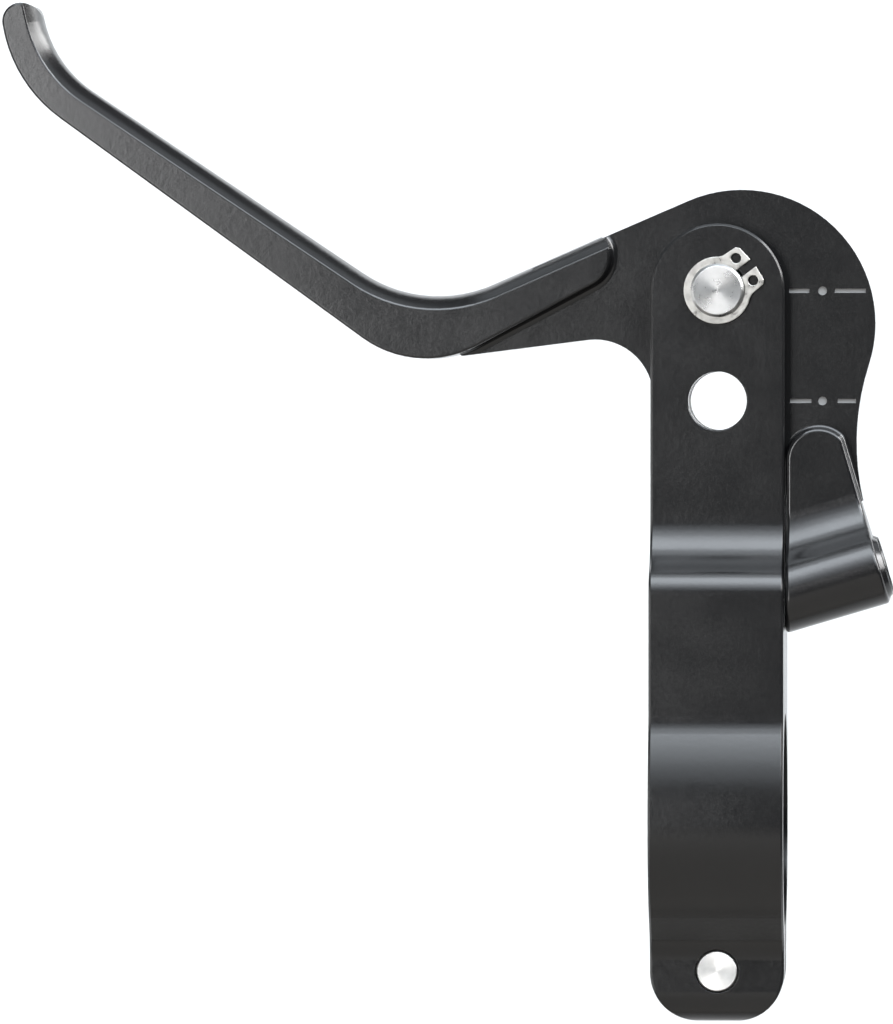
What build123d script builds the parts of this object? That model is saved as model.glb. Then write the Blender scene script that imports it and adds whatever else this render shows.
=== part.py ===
from build123d import *
import os
from math import acos, asin, atan2, cos, degrees, radians, sin, sqrt

# Flat-bar brake lever: a one-piece clamp body with two ears, a one-piece lever
# that swings between the ears, a headed pivot pin held by a snap ring, flanged
# bushings in the lever and a pinch bolt.
# Frame, millimetres: origin at the centre of the handlebar bore, X along the
# bar (towards the stem), Y forwards from the bar to the pivot, Z along the
# pivot pin, upwards when the lever is mounted.

# ---------------------------------------------------------------- dimensions
BAR_D = 22.2            # handlebar
BODY_W = 13.8           # clamp body, along the bar
RING_R = 13.4           # outside of the clamp ring
PIVOT_Y = 54.75         # pivot in use
ALT_Y = 43.4            # second pivot position
EAR_Z = 5.3             # half depth over the ears
NECK_Z = 10.9           # half depth of the neck
LUG_Z = 6.0             # half depth of the pinch lugs
SLOT_Z = 2.55           # half width of the slot between the ears
SLOT_FLOOR_Y = 26.6
SPLIT = 2.4             # pinch gap
BOTTOM_Y = -20.55
BOTTOM_R = 5.2          # corners of the lugs, seen along the pivot
LUG_NOSE_R = 3.2        # rounding of the lug ends, seen along the bar
S_TOP_Y = 31.6          # where the ears start to swell into the neck
S_R_IN = 5.7            # hollow radius of the swell
S_R_OUT = 2.95          # round radius of the swell
FRONT_R = 22.0          # the ring's side towards the neck is flatter than a circle
FRONT_HOLLOW_R = 4.5    # hollow radius between neck and ring
RING_END_Y = -9.6       # the ring runs on as a straight flank from here
FLANK_R = 3.0           # hollow radius between flank and lug
EDGE = 0.22             # broken edges of the body

PIN_D = 6.0
HOLE_D = 6.04           # holes in the ears
HOLE_EDGE = 0.1         # their broken outer rims
PIN_TIP_D = 5.5
RING_GROOVE_D = 4.6
RING_T = 0.6
RING_OD = 6.9
PIN_HEAD_D = 9.0
PIN_HEAD_T = 1.8

BUSH_ID = 6.12
BUSH_OD = 7.6
BUSH_FLANGE_D = 10.4
BUSH_FLANGE_T = 0.35
PLATE_Z = 2.1           # half thickness of the lever's plate
BUSH_LEN = 2.0          # sleeve of one bushing

BOLT_Y = -15.25
BOLT_D = 5.0
THREAD_D = 4.5          # threaded part, a plain cylinder at the pitch diameter
BOLT_TIP_D = 3.97
BOLT_HEAD_D = 8.5
BOLT_HEAD_T = 5.0
BOLT_HEX = 4.0
WASHER_D = 9.2
WASHER_T = 1.0
SPOT_R = 4.85           # spot face under the washer

CABLE_Z = 7.1           # the two cables run side by side
CABLE_TILT = 16.6       # degrees, rising towards the stem
CABLE_P = (7.65, 23.55)  # a point of the cable line
CABLE_HOLE_D = 2.2
HEAD_D = 6.0            # seat of the cable head
HEAD_DEPTH = 6.2
HOUSING_D = 5.2         # seat of the cable housing
HOUSING_DEPTH = 6.5

BLADE_Z = 5.0           # half depth of the blade
CROWN_R = 9.6           # rounding across the finger side of the blade
BLADE_EDGE = 0.25
ROOT_R = 0.7            # hollow where the raised blade stands on the plate
BOSS_ROOT_R = 0.4       # hollow where the boss stands on the plate
BOSS_X = 7.07           # boss flank that rests beside the body
BOSS_END = 23.57        # end face, measured along the cable line
BOSS_TOP = (10.38, 37.28)  # centre of the rounded top of the boss
BOSS_CORNER_R = 1.2
BOSS_EDGE = 0.4
TUBE_R = 3.7
BOSS_R_IN = 5.0
COLLAR_T = 0.5

os.makedirs("parts", exist_ok=True)


def prism_x(face, width):
    """Face drawn in (Y, Z), extruded along X, centred on X = 0."""
    return extrude(Plane.YZ.offset(-width / 2) * face, width)


def prism_z(face, z0, z1):
    return extrude(Plane.XY.offset(z0) * face, z1 - z0)


def rod(p, d, radius, length):
    """Cylinder that starts at p and runs along d."""
    pl = Plane(origin=p, z_dir=d)
    return extrude(pl * Circle(radius), length)


def arc(c, r, a0, a1):
    """Arc about c from angle a0 to a1, in degrees."""
    return CenterArc(c, r, a0, a1 - a0)


# ---------------------------------------------------------------- clamp body
def body_half():
    """Edges of the upper half of the side profile, from the ear tops down."""
    th = acos(1 - (NECK_Z - EAR_Z) / (S_R_IN + S_R_OUT))
    y1 = S_TOP_Y - (S_R_IN + S_R_OUT) * sin(th)
    e = []
    top = (PIVOT_Y + BODY_W, EAR_Z)
    e.append(Line(top, (S_TOP_Y, EAR_Z)))
    d = degrees(th)
    e.append(arc((S_TOP_Y, EAR_Z + S_R_IN), S_R_IN, -90, -90 - d))
    e.append(arc((y1, NECK_Z - S_R_OUT), S_R_OUT, 90 - d, 90))
    # a hollow out of the flat neck, a flat arc up to the ring's front, then the ring
    c0 = RING_R - FRONT_R
    hz = NECK_Z + FRONT_HOLLOW_R
    hy = sqrt((FRONT_R + FRONT_HOLLOW_R) ** 2 - (hz - c0) ** 2)
    a = degrees(atan2(hz - c0, hy))
    e.append(Line((y1, NECK_Z), (hy, NECK_Z)))
    e.append(arc((hy, hz), FRONT_HOLLOW_R, -90, a - 180))
    e.append(arc((0, c0), FRONT_R, a, 90))
    zr = sqrt(RING_R ** 2 - RING_END_Y ** 2)
    a1 = degrees(atan2(zr, RING_END_Y))
    e.append(arc((0, 0), RING_R, 90, a1))
    # straight flank, tangent to the ring, then a hollow into the lug
    lean = asin(-RING_END_Y / RING_R)
    drop = zr - LUG_Z - FLANK_R * (1 - cos(lean))
    y2 = RING_END_Y - drop / sin(lean) * cos(lean)
    z2 = zr - drop
    e.append(Line((RING_END_Y, zr), (y2, z2)))
    y3 = y2 - FLANK_R * sin(lean)
    e.append(arc((y3, LUG_Z + FLANK_R), FLANK_R, -90 + degrees(lean), -90))
    e.append(Line((y3, LUG_Z), (BOTTOM_Y - 3, LUG_Z)))
    e.append(Line((BOTTOM_Y - 3, LUG_Z), (BOTTOM_Y - 3, 0)))
    e.append(Line((BOTTOM_Y - 3, 0), (PIVOT_Y + BODY_W, 0)))
    e.append(Line((PIVOT_Y + BODY_W, 0), top))
    return e


half = make_face(Curve() + body_half())
profile = half + mirror(half, Plane.XZ)

w = BODY_W / 2
outline = make_face(Curve() + [
    Line((-w, PIVOT_Y), (-w, BOTTOM_Y + BOTTOM_R)),
    arc((-w + BOTTOM_R, BOTTOM_Y + BOTTOM_R), BOTTOM_R, 180, 270),
    Line((-w + BOTTOM_R, BOTTOM_Y), (w - BOTTOM_R, BOTTOM_Y)),
    arc((w - BOTTOM_R, BOTTOM_Y + BOTTOM_R), BOTTOM_R, 270, 360),
    Line((w, BOTTOM_Y + BOTTOM_R), (w, PIVOT_Y)),
    arc((0, PIVOT_Y), w, 0, 180),
])
body = prism_x(profile, BODY_W + 4) & prism_z(outline, -20, 20)

# broken edge all round both outer faces, then the rounded lug ends
rim = [e for e in body.edges()
       if abs(e.center().Z) > 2.0 and abs((e @ 0).Z) > 2.0 and (e @ 0).Z * (e @ 1).Z > 0
       and not (abs((e @ 0).X - (e @ 1).X) > 2 * w - 0.01 and abs(e.center().X) < 1e-3
                and abs((e @ 0).Y - (e @ 1).Y) < 1e-6 and e.center().Y > BOTTOM_Y + 1
                and e.center().Y < PIVOT_Y)]
body = chamfer(rim, EDGE)
nose = make_face(Curve() + [
    arc((BOTTOM_Y + LUG_NOSE_R, LUG_Z - LUG_NOSE_R), LUG_NOSE_R, 90, 180),
    Line((BOTTOM_Y, LUG_Z - LUG_NOSE_R), (BOTTOM_Y - 2, LUG_Z - LUG_NOSE_R)),
    Line((BOTTOM_Y - 2, LUG_Z - LUG_NOSE_R), (BOTTOM_Y - 2, LUG_Z + 2)),
    Line((BOTTOM_Y - 2, LUG_Z + 2), (BOTTOM_Y + LUG_NOSE_R, LUG_Z + 2)),
    Line((BOTTOM_Y + LUG_NOSE_R, LUG_Z + 2), (BOTTOM_Y + LUG_NOSE_R, LUG_Z)),
])
body -= prism_x(nose, BODY_W + 4)
body -= prism_x(mirror(nose, Plane.XZ), BODY_W + 4)

tilt = radians(CABLE_TILT)
cd = Vector(cos(tilt), sin(tilt), 0)      # along the cables
cn = Vector(-sin(tilt), cos(tilt), 0)     # across them, forwards
cp = Vector(CABLE_P[0], CABLE_P[1], 0)


def cable_at(x, z):
    """Point of a cable line at a given X."""
    p = cp + cd * ((x - cp.X) / cd.X)
    return Vector(p.X, p.Y, z)


body -= rod((-BODY_W, 0, 0), (1, 0, 0), BAR_D / 2, 2 * BODY_W)
body -= Pos(0, BOTTOM_Y / 2 - 5, 0) * Box(2 * BODY_W, -BOTTOM_Y + 10, SPLIT)
body -= Pos(0, SLOT_FLOOR_Y + 25, 0) * Box(2 * BODY_W, 50, 2 * SLOT_Z)
for y in (PIVOT_Y, ALT_Y):
    body -= rod((0, y, -12), (0, 0, 1), HOLE_D / 2, 24)
body -= rod((0, BOLT_Y, 0), (0, 0, 1), THREAD_D / 2, 12)
body -= rod((0, BOLT_Y, -12), (0, 0, 1), BOLT_D / 2 + 0.25, 12)
body -= rod((0, BOLT_Y, -24), (0, 0, 1), SPOT_R, 24 - LUG_Z)
for z in (CABLE_Z, -CABLE_Z):
    body -= rod(cable_at(-12, z), cd, CABLE_HOLE_D / 2, 30)
    mouth = cable_at(-w, z)
    body -= rod(mouth - cd * 4, cd, HEAD_D / 2, 4 + HEAD_DEPTH)
body = chamfer([e for e in body.edges()
                if e.geom_type == GeomType.CIRCLE and abs(e.radius - HOLE_D / 2) < 1e-4
                and abs(abs(e.center().Z) - EAR_Z) < 1e-4], HOLE_EDGE)

# ---------------------------------------------------------------- brake lever
def offset_corners(pts, d):
    """Corners of an open polyline moved d to its left."""
    segs = []
    for (x0, y0), (x1, y1) in zip(pts, pts[1:]):
        n = sqrt((x1 - x0) ** 2 + (y1 - y0) ** 2)
        ux, uy = (x1 - x0) / n, (y1 - y0) / n
        segs.append((x0 - uy * d, y0 + ux * d, ux, uy))
    out = [(segs[0][0], segs[0][1])]
    for (ax, ay, au, av), (bx, by, bu, bv) in zip(segs, segs[1:]):
        t = ((bx - ax) * bv - (by - ay) * bu) / (au * bv - av * bu)
        out.append((ax + au * t, ay + av * t))
    x0, y0, ux, uy = segs[-1]
    (p, q) = pts[-1]
    out.append((p - uy * d, q + ux * d))
    return out


# finger side of the blade, from the tip to the raised end beside the ears
TOP = [(-70.38, 84.55), (-68.90, 78.16), (-30.42, 52.33), (-11.35, 60.70)]
TOP_RADII = [12.0, 14.1]
TIP_R = 1.9
BLADE_END_X = -11.08     # the raised blade ends here, rounded
high = offset_corners(TOP, 0.5)
high_end = (BLADE_END_X, high[2][1] + (BLADE_END_X - high[2][0])
            * (TOP[3][1] - TOP[2][1]) / (TOP[3][0] - TOP[2][0]))
blade_outline = make_face(FilletPolyline(
    [high_end, high[2], high[1], (-70.55, 84.52),
     (-74.27, 84.52), (-72.79, 76.11), (-30.958, 45.779), (BLADE_END_X, 56.31)],
    radius=[1.7, 13.6, 11.5, TIP_R, TIP_R, 14.8, 11.2, 3.4], close=True))
blade = prism_z(blade_outline + make_face(Polyline(
    (-28.5, 45.2), (-9.4, 53.0), (-9.4, 63.0), (-20.0, 58.5), (-26.0, 50.0), close=True)),
    -BLADE_Z, BLADE_Z)

# crowned section carried along the finger side
ext0 = Vector(*TOP[0]) + (Vector(*TOP[0]) - Vector(*TOP[1])).normalized() * 3
ext1 = Vector(*TOP[3]) + (Vector(*TOP[3]) - Vector(*TOP[2])).normalized() * 3
path = FilletPolyline([(ext0.X, ext0.Y), TOP[1], TOP[2], (ext1.X, ext1.Y)],
                      radius=TOP_RADII)
z_w = BLADE_Z + 0.6
sag = CROWN_R - sqrt(CROWN_R ** 2 - z_w ** 2)
section = make_face(Curve() + [
    ThreePointArc((-sag, -z_w), (0, 0), (-sag, z_w)),
    Line((-sag, z_w), (-9.0, z_w)),
    Line((-9.0, z_w), (-9.0, -z_w)),
    Line((-9.0, -z_w), (-sag, -z_w)),
])
t0 = (path % 0)
n0 = Vector(-t0.Y, t0.X, 0)
crown = sweep(Plane(origin=path @ 0, x_dir=n0, z_dir=t0) * section, path=path)
blade = blade & crown

# the plate is milled down beside the raised blade, with a hollow root round its end
pocket = make_face(Polyline((-29.4, 43.0), (-3.0, 43.0), (-3.0, 66.0), (-19.0, 66.0), (-19.0, 54.0),
                            (-29.4, 50.0), close=True)) - blade_outline
pocket = max(pocket.faces(), key=lambda f: f.area)
mill = prism_z(pocket, PLATE_Z, 14)
mill = fillet([e for e in mill.edges()
               if abs((e @ 0).Z - PLATE_Z) < 1e-4 and abs((e @ 1).Z - PLATE_Z) < 1e-4
               and -29.39 < (e @ 0.5).X < -11.0 and 44.0 < (e @ 0.5).Y < 61.5], ROOT_R)
blade = blade - mill - mirror(mill, Plane.XY)
blade = fillet([e for e in blade.edges()
                if abs(abs((e @ 0).Z) - BLADE_Z) < 1e-4 and abs(abs((e @ 1).Z) - BLADE_Z) < 1e-4
                and (e @ 0).Z * (e @ 1).Z > 0], BLADE_EDGE)

# outline of the plate between the ears, with the lobe beside them
LOBE = (2.398, 51.372)
LOBE_R = 13.794
RISE = (-19.0, 57.16)    # the plate's top edge comes out of the blade's crown here
rise_d = sqrt((RISE[0] - LOBE[0]) ** 2 + (RISE[1] - LOBE[1]) ** 2)
lt = degrees(atan2(RISE[1] - LOBE[1], RISE[0] - LOBE[0]) - acos(LOBE_R / rise_d))
lb = -17.88
lobe_top = (LOBE[0] + LOBE_R * cos(radians(lt)), LOBE[1] + LOBE_R * sin(radians(lt)))
lobe_bot = (LOBE[0] + LOBE_R * cos(radians(lb)), LOBE[1] + LOBE_R * sin(radians(lb)))
ALT_EYE_R = 6.7
eye0 = (-ALT_EYE_R, ALT_Y)
eye1 = (ALT_EYE_R * cos(radians(250)), ALT_Y + ALT_EYE_R * sin(radians(250)))
waist_end = (14.96, 33.1)
plate_outline = make_face(Curve() + [
    Line(RISE, lobe_top),
    arc(LOBE, LOBE_R, lt, lb),
    TangentArc(lobe_bot, waist_end, tangent=(sin(radians(lb)), -cos(radians(lb)))),
    Line(waist_end, (9.5, 32.7)),
    Line((9.5, 32.7), eye1),
    arc((0, ALT_Y), ALT_EYE_R, 250, 180),
    TangentArc((-13.53, 49.68), eye0, tangent=(0.992, 0.126)),
    Line((-13.53, 49.68), (-26.5, 48.03)),
    Line((-26.5, 48.03), (-29.0, 50.5)),
    Line((-29.0, 50.5), (-19.0, 55.2)),
    Line((-19.0, 55.2), RISE),
])

# boss with the cable seats, edges and corners rounded
bz = EAR_Z
sc = sqrt((TUBE_R + BOSS_R_IN) ** 2 - (bz + BOSS_R_IN - CABLE_Z) ** 2)
ang = degrees(atan2(bz + BOSS_R_IN - CABLE_Z, sc))
boss_half = make_face(Curve() + [
    Line((-TUBE_R, 0), (-TUBE_R, CABLE_Z)),
    arc((0, CABLE_Z), TUBE_R, 180, ang),
    arc((sc, bz + BOSS_R_IN), BOSS_R_IN, 180 + ang, 270),
    Line((sc, bz), (25, bz)),
    Line((25, bz), (25, 0)),
    Line((25, 0), (-TUBE_R, 0)),
])
boss_section = boss_half + mirror(boss_half, Plane.XZ)
along0 = cp - cd * cp.dot(cd)             # foot of the cable line, where length is 0
boss_plane = Plane(origin=along0 + cd * 5, x_dir=cn, z_dir=cd)
boss = extrude(boss_plane * boss_section, BOSS_END - 5)
bx, by = BOSS_TOP
boss_outline = make_face(Curve() + [
    Line((BOSS_X, 5), (BOSS_X, by)),
    arc(BOSS_TOP, bx - BOSS_X, 180, 0),
    Line((2 * bx - BOSS_X, by), (40, by)),
    Line((40, by), (40, 5)),
    Line((40, 5), (BOSS_X, 5)),
])
boss = boss & prism_z(boss_outline, -20, 20)


def across(shape, y0, y1):
    """Straight edges along Z at the boss's outline between two heights."""
    return [e for e in shape.edges()
            if abs((e @ 0).Z + (e @ 1).Z) < 1e-4 and abs((e @ 0).X - (e @ 1).X) < 1e-4
            and abs((e @ 0).Y - (e @ 1).Y) < 1e-4 and y0 < e.center().Y < y1]


boss = fillet(across(boss, 38.5, 40.2), BOSS_CORNER_R)
boss = fillet([e for e in across(boss, 19.0, 20.0) if e.center().X < 8], BOSS_EDGE)

# the boss stands on the plate with a hollow root
rise = (lobe_top[1] - RISE[1]) / (lobe_top[0] - RISE[0])


def rise_at(x):
    """Point of the plate's straight top edge."""
    return (x, RISE[1] + (x - RISE[0]) * rise)


slab = prism_z(make_face(Polyline(
    (-29.5, 44), (-29.5, 50.5), (-19.2, 55.4), rise_at(-19.2), rise_at(-11.55), (-11.55, 75),
    (30, 75), (30, 30), (11, 30), (9.5, 32.83), (-4, 37.72), close=True)), -PLATE_Z, PLATE_Z)
lever = slab + boss + blade


def on_plate(shape, where):
    """Edges lying in the plate's two faces whose middle is in a given area."""
    return [e for e in shape.edges()
            if abs(abs((e @ 0).Z) - PLATE_Z) < 1e-4 and abs(abs((e @ 1).Z) - PLATE_Z) < 1e-4
            and (e @ 0).Z * (e @ 1).Z > 0 and where(e @ 0.5)]


lever = fillet(on_plate(lever, lambda c: 7 < c.X < 16 and 30.1 < c.Y < 40.5), BOSS_ROOT_R)
boss_keep = make_face(Polyline(
    (BOSS_X - 0.02, 12), (BOSS_X - 0.02, 36),
    ((BOSS_END + 0.02 - 36 * cd.Y) / cd.X, 36), ((BOSS_END + 0.02 - 12 * cd.Y) / cd.X, 12), close=True))
above = make_face(Polyline(rise_at(-11.6), lobe_top, (lobe_top[0], 75), (-11.6, 75), close=True))
keep = plate_outline + (blade_outline - above) + boss_keep
lever = lever & prism_z(keep, -20, 20)
for z in (CABLE_Z, -CABLE_Z):
    end = along0 + cd * BOSS_END + Vector(0, 0, z)
    pl = Plane(origin=end, z_dir=cd)
    lever += loft([pl * Circle(TUBE_R - BOSS_EDGE - 0.02),
                   pl.offset(COLLAR_T) * Circle(TUBE_R - BOSS_EDGE - 0.02 - COLLAR_T * 0.75)])
    lever -= rod(end + cd * 3, -cd, HOUSING_D / 2, 3 + HOUSING_DEPTH)
    lever -= rod(end, -cd, CABLE_HOLE_D / 2, 30)
for y in (PIVOT_Y, ALT_Y):
    lever -= rod((0, y, -12), (0, 0, 1), BUSH_OD / 2, 24)
print("lever", lever.volume, len(lever.solids()), lever.is_valid)

# engraved marks at the height of each pivot position
MARK = 0.18
for y, spans in ((PIVOT_Y, ((7.3, 9.4), (12.0, 15.2))), (ALT_Y, ((7.4, 9.6), (12.3, 14.2)))):
    for x0, x1 in spans:
        lever -= Pos((x0 + x1) / 2, y, PLATE_Z) * Box(x1 - x0, 0.42, 2 * MARK)
    lever -= rod((10.75, y, PLATE_Z - MARK), (0, 0, 1), 0.45, 2)

# ---------------------------------------------------------------- bushings
def bushing(y, side):
    b = rod((0, y, side * (PLATE_Z - BUSH_LEN)), (0, 0, side), BUSH_OD / 2, BUSH_LEN)
    b += rod((0, y, side * PLATE_Z), (0, 0, side), BUSH_FLANGE_D / 2, BUSH_FLANGE_T)
    b -= rod((0, y, -12), (0, 0, 1), BUSH_ID / 2, 24)
    return b


# ---------------------------------------------------------------- pivot pin and ring
groove0 = EAR_Z + 0.02
groove1 = groove0 + RING_T + 0.04
tip = groove1 + 0.65
rev = make_face(Polyline(
    (0, -EAR_Z - PIN_HEAD_T), (PIN_HEAD_D / 2 - 0.4, -EAR_Z - PIN_HEAD_T),
    (PIN_HEAD_D / 2, -EAR_Z - PIN_HEAD_T + 0.4), (PIN_HEAD_D / 2, -EAR_Z - 0.02),
    (PIN_D / 2, -EAR_Z - 0.02), (PIN_D / 2, EAR_Z - 0.3), (PIN_D / 2 - 0.3, EAR_Z),
    (RING_GROOVE_D / 2, EAR_Z), (RING_GROOVE_D / 2, groove1),
    (PIN_TIP_D / 2, groove1), (PIN_TIP_D / 2, tip - 0.27), (PIN_TIP_D / 2 - 0.27, tip), (0, tip),
    close=True))
pin = Pos(0, PIVOT_Y, 0) * revolve(Plane.XZ * rev, Axis.Z)

RING_OPEN = 37.6        # direction of the ring's opening
lug = make_face(FilletPolyline(
    [(1.6, 0.4), (4.64, 0.4), (4.46, 2.05), (4.18, 2.36), (3.33, 2.42), (2.65, 2.46),
     (2.1, 2.68), (1.6, 2.95)], radius=0.1, close=True))
ring2d = Circle(RING_OD / 2) + lug + mirror(lug, Plane.XZ)
ring2d -= Circle(RING_GROOVE_D / 2 + 0.03)
ring2d -= Pos(3.0, 0, 0) * Rectangle(6.0, 0.92)
for v in (1.44, -1.44):
    ring2d -= Pos(3.545, v, 0) * Circle(0.53)
snap = Pos(0, PIVOT_Y, 0) * Rot(0, 0, RING_OPEN) * prism_z(ring2d, groove0, groove0 + RING_T)

# ---------------------------------------------------------------- pinch bolt
z_head = -LUG_Z - WASHER_T
bolt_end = LUG_Z + 0.05
rev = make_face(Polyline(
    (0, z_head - BOLT_HEAD_T), (BOLT_HEAD_D / 2 - 0.5, z_head - BOLT_HEAD_T),
    (BOLT_HEAD_D / 2, z_head - BOLT_HEAD_T + 0.5), (BOLT_HEAD_D / 2, z_head),
    (BOLT_D / 2 - 0.02, z_head), (BOLT_D / 2 - 0.02, -SPLIT / 2),
    (THREAD_D / 2 - 0.02, 0.25 - SPLIT / 2), (THREAD_D / 2 - 0.02, bolt_end - 0.27),
    (BOLT_TIP_D / 2, bolt_end), (0, bolt_end), close=True))
bolt = Pos(0, BOLT_Y, 0) * revolve(Plane.XZ * rev, Axis.Z)
bolt -= prism_z(Pos(0, BOLT_Y) * RegularPolygon(BOLT_HEX / 2, 6, major_radius=False),
                z_head - BOLT_HEAD_T - 1, z_head - BOLT_HEAD_T + 2.6)
washer = rod((0, BOLT_Y, -LUG_Z), (0, 0, -1), WASHER_D / 2, WASHER_T)
washer -= rod((0, BOLT_Y, -24), (0, 0, 1), BOLT_D / 2 + 0.2, 24)

# ---------------------------------------------------------------- files
nodes = {
    "clamp_body": body,
    "brake_lever": lever,
    "pivot_bushing_front": bushing(PIVOT_Y, 1),
    "pivot_bushing_rear": bushing(PIVOT_Y, -1),
    "spare_bushing_front": bushing(ALT_Y, 1),
    "spare_bushing_rear": bushing(ALT_Y, -1),
    "pivot_pin": pin,
    "pivot_snap_ring": snap,
    "clamp_bolt": bolt,
    "clamp_bolt_washer": washer,
}
for name, shape in nodes.items():
    print(name, round(shape.volume, 1), len(shape.solids()), shape.is_valid)
    export_step(shape, f"parts/{name}.step")
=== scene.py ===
import math

import bpy
from mathutils import Matrix, Vector

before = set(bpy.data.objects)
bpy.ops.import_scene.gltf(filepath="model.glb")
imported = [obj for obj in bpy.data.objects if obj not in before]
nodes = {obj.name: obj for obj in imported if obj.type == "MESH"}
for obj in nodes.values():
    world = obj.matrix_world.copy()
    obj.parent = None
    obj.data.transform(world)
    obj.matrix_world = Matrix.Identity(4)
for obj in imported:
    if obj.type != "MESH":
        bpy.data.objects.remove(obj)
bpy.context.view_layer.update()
scene = bpy.context.scene
scene.view_settings.view_transform = "Standard"
scene.view_settings.look = "None"
scene.view_settings.exposure = 0.0

PIVOT = Vector((0.0, 0.05475, 0.0))
ALT_Y = 0.0434
BOLT = Vector((0.0, -0.01525, 0.0))
PLATE_Z = 0.0021


# ---------------------------------------------------------------- node helpers
class Tree:
    """Short names for building one material's nodes."""

    def __init__(self, name):
        self.mat = bpy.data.materials.new(name)
        self.mat.use_nodes = True
        self.t = self.mat.node_tree
        self.t.nodes.clear()
        self.out = self.add("ShaderNodeOutputMaterial")
        self.bsdf = self.add("ShaderNodeBsdfPrincipled")
        self.link(self.bsdf.outputs["BSDF"], self.out.inputs["Surface"])
        co = self.add("ShaderNodeTexCoord")
        self.xyz = co.outputs["Object"]

    def add(self, kind, **props):
        n = self.t.nodes.new(kind)
        for k, v in props.items():
            setattr(n, k, v)
        return n

    def link(self, a, b):
        self.t.links.new(a, b)

    def put(self, socket, value):
        if hasattr(value, "is_output"):
            self.link(value, socket)
        else:
            socket.default_value = value

    def set(self, **values):
        for k, v in values.items():
            self.put(self.bsdf.inputs[k.replace("_", " ")], v)

    def math(self, op, a, b=None, c=None, clamp=False):
        n = self.add("ShaderNodeMath", operation=op, use_clamp=clamp)
        for i, v in enumerate((a, b, c)):
            if v is not None:
                self.put(n.inputs[i], v)
        return n.outputs[0]

    def vmath(self, op, a, b=None):
        n = self.add("ShaderNodeVectorMath", operation=op)
        self.put(n.inputs[0], a)
        if b is not None:
            self.put(n.inputs[1], b)
        return n.outputs["Value"] if op in ("DOT_PRODUCT", "LENGTH", "DISTANCE") else n.outputs["Vector"]

    def split(self, v):
        n = self.add("ShaderNodeSeparateXYZ")
        self.link(v, n.inputs[0])
        return n.outputs

    def noise(self, size, detail=3.0, rough=0.55, stretch=(1, 1, 1), shift=(0, 0, 0), distort=0.0):
        """Noise with features about size metres across; stretch > 1 makes it longer on that axis."""
        m = self.add("ShaderNodeMapping")
        self.link(self.xyz, m.inputs["Vector"])
        m.inputs["Scale"].default_value = [1.0 / (size * s) for s in stretch]
        m.inputs["Location"].default_value = shift
        n = self.add("ShaderNodeTexNoise")
        self.link(m.outputs["Vector"], n.inputs["Vector"])
        n.inputs["Scale"].default_value = 1.0
        n.inputs["Detail"].default_value = detail
        n.inputs["Roughness"].default_value = rough
        n.inputs["Distortion"].default_value = distort
        return n.outputs["Fac"]

    def ramp(self, fac, stops):
        n = self.add("ShaderNodeValToRGB")
        self.link(fac, n.inputs["Fac"])
        els = n.color_ramp.elements
        while len(els) < len(stops):
            els.new(0.5)
        for e, (p, c) in zip(els, stops):
            e.position = p
            e.color = (*c, 1) if len(c) == 3 else c
        return n.outputs["Color"]

    def range(self, v, a, b, c, d, smooth=False):
        n = self.add("ShaderNodeMapRange")
        n.interpolation_type = "SMOOTHSTEP" if smooth else "LINEAR"
        self.put(n.inputs["Value"], v)
        for k, x in zip(("From Min", "From Max", "To Min", "To Max"), (a, b, c, d)):
            n.inputs[k].default_value = x
        return n.outputs["Result"]

    def mix(self, fac, a, b):
        n = self.add("ShaderNodeMix", data_type="RGBA")
        self.put(n.inputs["Factor"], fac)
        self.put(n.inputs[6], a if hasattr(a, "is_output") else (*a, 1))
        self.put(n.inputs[7], b if hasattr(b, "is_output") else (*b, 1))
        return n.outputs[2]

    def bump(self, height, distance, strength=1.0, normal=None):
        n = self.add("ShaderNodeBump")
        n.inputs["Strength"].default_value = strength
        n.inputs["Distance"].default_value = distance
        self.link(height, n.inputs["Height"])
        if normal is not None:
            self.link(normal, n.inputs["Normal"])
        return n.outputs["Normal"]

    def edges(self, radius, low=0.02, high=0.25):
        """1 near convex and hollow edges, 0 on open faces; and the rounded normal."""
        n = self.add("ShaderNodeBevel")
        n.samples = 6
        n.inputs["Radius"].default_value = radius
        g = self.add("ShaderNodeNewGeometry")
        d = self.vmath("DOT_PRODUCT", n.outputs["Normal"], g.outputs["Normal"])
        return self.range(self.math("SUBTRACT", 1.0, d), low, high, 0.0, 1.0), n.outputs["Normal"]


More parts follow.
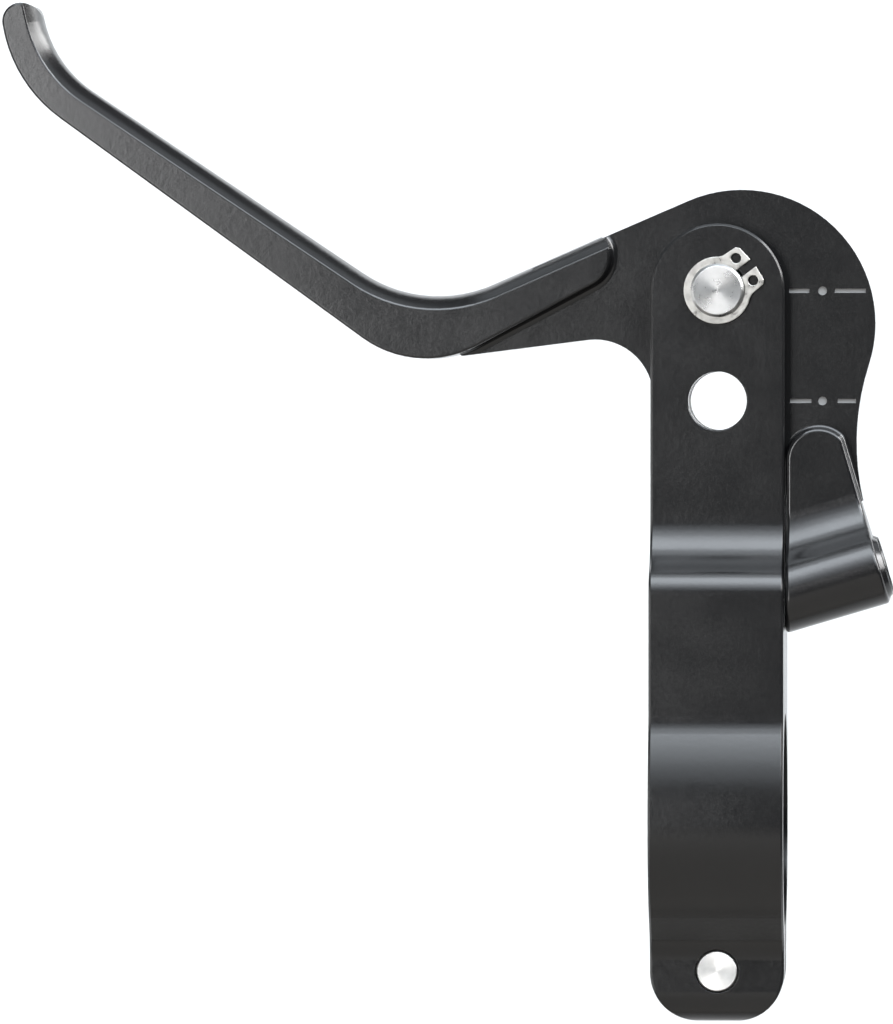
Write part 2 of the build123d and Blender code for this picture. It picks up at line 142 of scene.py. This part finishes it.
# ---------------------------------------------------------------- materials
def anodised(name, round_edge, marks=False):
    """Satin black anodised aluminium: blasted grain, faint mottling, edges a little paler, partly from
    wear and partly as a painted highlight.
    """
    t = Tree(name)
    mottle = t.noise(0.0052, 4.0, 0.6)
    cloud = t.noise(0.022, 3.0, 0.5, shift=(3.1, 1.7, 0.4))
    grain = t.noise(0.00052, 3.0, 0.62)
    fine = t.noise(0.00016, 2.0, 0.6)
    tone = t.math("ADD", t.math("MULTIPLY", mottle, 0.45), t.math("MULTIPLY", cloud, 0.30))
    tone = t.math("ADD", tone, t.math("MULTIPLY", grain, 0.25))
    colour = t.ramp(tone, [(0.34, (0.0026, 0.0026, 0.0028)), (0.50, (0.0038, 0.0038, 0.0040)),
                           (0.66, (0.0056, 0.0056, 0.0059))])
    speck = t.range(fine, 0.60, 0.80, 0.0, 1.0)
    colour = t.mix(t.math("MULTIPLY", speck, 0.30), colour, (0.022, 0.022, 0.023))
    # Paler edges: partly chipped wear, partly a painted highlight standing in for light caught on the
    # rounded edges.
    edge_wear_and_highlight, soft = t.edges(round_edge)
    chip = t.range(t.noise(0.0011, 4.0, 0.7, shift=(0.3, 5.2, 2.2)), 0.45, 0.62, 0.25, 1.0)
    colour = t.mix(t.math("MULTIPLY", t.math("MULTIPLY", edge_wear_and_highlight, chip), 0.22), colour, (0.055, 0.056, 0.058))
    rough = t.math("ADD", t.range(tone, 0.34, 0.66, 0.250, 0.172), t.range(fine, 0.3, 0.7, -0.018, 0.018))
    # Engraved marks beside the pivot holes: their light grey is a painted highlight of light caught on the
    # groove walls.
    if marks:
        x, y, z = t.split(t.xyz)
        deep = t.math("LESS_THAN", z, PLATE_Z - 0.00006)
        front = t.math("GREATER_THAN", z, PLATE_Z - 0.00025)
        right = t.math("GREATER_THAN", x, 0.0071)
        groove_painted_highlight = t.math("MULTIPLY", t.math("MULTIPLY", deep, front), right)
        beside = t.math("LESS_THAN", x, 0.0154)
        near = t.math("ADD", t.math("COMPARE", y, PIVOT.y, 0.0006), t.math("COMPARE", y, ALT_Y, 0.0006))
        groove_painted_highlight = t.math("MULTIPLY", t.math("MULTIPLY", groove_painted_highlight, beside), near, clamp=True)
        # Painted highlight: the engraved grooves are coloured light grey.
        colour = t.mix(groove_painted_highlight, colour, (0.20, 0.20, 0.198))
    t.set(Base_Color=colour, Roughness=rough, IOR=1.5)
    n = t.bump(grain, 0.000030, 0.25, soft)
    n = t.bump(fine, 0.000010, 0.16, n)
    t.put(t.bsdf.inputs["Normal"], n)
    return t.mat


def turned(name, centre, colour, rough):
    """Lathe-turned steel: rings about the axis through centre, a radial sheen, faint stains."""
    t = Tree(name)
    d = t.vmath("SUBTRACT", t.xyz, tuple(centre))
    x, y, z = t.split(d)
    r = t.math("SQRT", t.math("ADD", t.math("MULTIPLY", x, x), t.math("MULTIPLY", y, y)))
    wobble = t.noise(0.0016, 2.0, 0.5)
    rr = t.math("ADD", r, t.math("MULTIPLY", wobble, 0.00004))
    rings = t.math("SINE", t.math("MULTIPLY", rr, 2 * math.pi / 0.00021))
    rings2 = t.math("SINE", t.math("MULTIPLY", rr, 2 * math.pi / 0.00047))
    both = t.math("ADD", t.math("MULTIPLY", rings, 0.6), t.math("MULTIPLY", rings2, 0.4))
    stain = t.noise(0.0013, 4.0, 0.6, shift=(1.2, 0.2, 0.8))
    c = t.ramp(stain, [(0.32, tuple(0.90 * v for v in colour)), (0.52, colour), (0.75, tuple(min(1, 1.06 * v) for v in colour))])
    edge, soft = t.edges(0.00010)
    c = t.mix(t.math("MULTIPLY", edge, 0.5), c, (0.86, 0.86, 0.85))
    t.set(Base_Color=c, Metallic=1.0, Anisotropic=0.75)
    t.put(t.bsdf.inputs["Roughness"], t.range(stain, 0.3, 0.7, rough - 0.015, rough + 0.02))
    tan = t.add("ShaderNodeTangent", direction_type="RADIAL", axis="Z")
    t.link(tan.outputs[0], t.bsdf.inputs["Tangent"])
    t.put(t.bsdf.inputs["Normal"], t.bump(both, 0.0000015, 0.35, soft))
    return t.mat


def stamped(name, colour, rough):
    """Stamped spring steel, tumbled: warm grey, fine grain, soft edges."""
    t = Tree(name)
    tone = t.noise(0.0009, 4.0, 0.6)
    c = t.ramp(tone, [(0.3, tuple(0.72 * v for v in colour)), (0.5, colour), (0.72, tuple(min(1, 1.15 * v) for v in colour))])
    edge, soft = t.edges(0.00012)
    c = t.mix(t.math("MULTIPLY", edge, 0.4), c, tuple(min(1, 1.25 * v) for v in colour))
    grain = t.noise(0.00016, 3.0, 0.6)
    t.set(Base_Color=c, Metallic=1.0)
    t.put(t.bsdf.inputs["Roughness"], t.range(tone, 0.3, 0.7, rough - 0.05, rough + 0.06))
    t.put(t.bsdf.inputs["Normal"], t.bump(grain, 0.000010, 0.18, soft))
    return t.mat


def plastic(name):
    """Moulded bearing plastic, natural white, matt."""
    t = Tree(name)
    tone = t.noise(0.0014, 3.0, 0.5)
    c = t.ramp(tone, [(0.3, (0.70, 0.69, 0.665)), (0.7, (0.78, 0.77, 0.75))])
    grain = t.noise(0.00018, 2.0, 0.5)
    t.set(Base_Color=c, IOR=1.47)
    t.put(t.bsdf.inputs["Roughness"], t.range(tone, 0.3, 0.7, 0.48, 0.60))
    t.put(t.bsdf.inputs["Normal"], t.bump(grain, 0.000012, 0.15))
    return t.mat


black_body = anodised("black_anodised_body", 0.00010)
black_lever = anodised("black_anodised_lever", 0.00005, marks=True)
steel_pin = turned("turned_steel_pin", PIVOT, (0.43, 0.43, 0.427), 0.28)
steel_bolt = turned("bolt_steel_turned", BOLT, (0.64, 0.635, 0.62), 0.36)
steel_ring = stamped("spring_steel_satin", (0.41, 0.402, 0.382), 0.31)
bush_mat = plastic("bushing_plastic_white")


def dress(node, mat):
    m = nodes[node].data
    m.materials.clear()
    m.materials.append(mat)


dress("clamp_body", black_body)
dress("brake_lever", black_lever)
dress("pivot_pin", steel_pin)
dress("pivot_snap_ring", steel_ring)
dress("clamp_bolt", steel_bolt)
dress("clamp_bolt_washer", steel_bolt)
for n in ("pivot_bushing_front", "pivot_bushing_rear", "spare_bushing_front", "spare_bushing_rear"):
    dress(n, bush_mat)

# ---------------------------------------------------------------- floor, light, camera
FLOOR_Z = -0.11
FLOOR_X = (-1.60, 1.60)
FLOOR_Y = (-2.20, 0.118)
mesh = bpy.data.meshes.new("floor")
mesh.from_pydata([(x, y, FLOOR_Z) for y in FLOOR_Y for x in FLOOR_X], [], [(0, 1, 3, 2)])
floor = bpy.data.objects.new("floor", mesh)
scene.collection.objects.link(floor)
fl = Tree("pale_floor")
tone = fl.noise(0.35, 2.0, 0.5)
fl.set(Base_Color=fl.ramp(tone, [(0.3, (0.58, 0.575, 0.57)), (0.7, (0.60, 0.595, 0.59))]), Roughness=0.85)
floor.data.materials.append(fl.mat)


def softbox(name, towards, distance, size_x, size_y, radiance, colour=(1, 1, 1), aim=(-0.01, 0.03, 0.0)):
    d = Vector(towards).normalized()
    light = bpy.data.lights.new(name, "AREA")
    light.shape = "RECTANGLE"
    light.size, light.size_y = size_x, size_y
    light.energy = radiance * math.pi * size_x * size_y
    light.color = colour
    o = bpy.data.objects.new(name, light)
    scene.collection.objects.link(o)
    o.location = Vector(aim) + d * distance
    o.rotation_mode = "QUATERNION"
    o.rotation_quaternion = d.to_track_quat("Z", "Y")
    return o


def polar(from_zenith, azimuth):
    """Direction at an angle from straight up; azimuth 0 is +Y, 90 is +X."""
    z, a = math.radians(from_zenith), math.radians(azimuth)
    return (math.sin(z) * math.sin(a), math.sin(z) * math.cos(a), math.cos(z))


# the front is graded: dim overhead, bright towards the horizon
COOL = (0.87, 0.935, 1.0)
softbox("front_1", polar(25.0, 12), 1.30, 1.20, 0.25, 1.8, COOL)
softbox("front_2", polar(36.0, 13), 1.30, 1.50, 0.26, 4.2, COOL)
softbox("front_3", polar(47.0, 14), 1.30, 1.80, 0.25, 7.8, COOL)
softbox("front_4", polar(62.5, 14), 1.30, 2.00, 0.48, 9.6, COOL)
softbox("front_5", polar(81.0, 14), 1.30, 2.00, 0.36, 3.4, COOL)
softbox("front_6", polar(108.0, 20), 1.30, 2.20, 0.90, 0.85, COOL)
softbox("front_left", polar(112, -46), 1.30, 1.00, 1.30, 0.50, COOL)
softbox("upper_left", polar(16.6, -86), 1.30, 0.62, 0.32, 11.5, (0.985, 0.99, 1.0))
softbox("strip_right", polar(80, 58), 1.20, 0.80, 0.36, 18.0)
softbox("low_left", polar(84, -92), 1.30, 1.10, 0.50, 2.4)
softbox("behind", polar(47, 180), 1.40, 3.00, 2.10, 0.70, (1.0, 0.965, 0.915))
softbox("behind_low", polar(91, 180), 1.40, 3.00, 0.31, 0.50, (1.0, 0.965, 0.915))
softbox("hook_glow", polar(131, 63), 0.50, 0.09, 0.30, 6.5, aim=(-0.066, 0.078, 0.0))

world = bpy.data.worlds.new("studio")
scene.world = world
world.use_nodes = True
bg = next(n for n in world.node_tree.nodes if n.type == "BACKGROUND")
bg.inputs["Color"].default_value = (0.96, 0.98, 1.0, 1)
bg.inputs["Strength"].default_value = 0.07

cam_data = bpy.data.cameras.new("camera")
cam = bpy.data.objects.new("camera", cam_data)
scene.collection.objects.link(cam)
cam_data.sensor_fit = "AUTO"
cam_data.sensor_width = 36.0
cam_data.lens = 316.5
cam_data.clip_start, cam_data.clip_end = 0.02, 20.0
cam.location = (0.026018, 0.043502, 0.931)
back = (cam.location - Vector((-0.028202, 0.031882, 0.0))).normalized()
side = Vector((0, 1, 0)).cross(back).normalized()
up = back.cross(side)
cam.rotation_mode = "QUATERNION"
cam.rotation_quaternion = Matrix((side, up, back)).transposed().to_quaternion()
scene.camera = cam
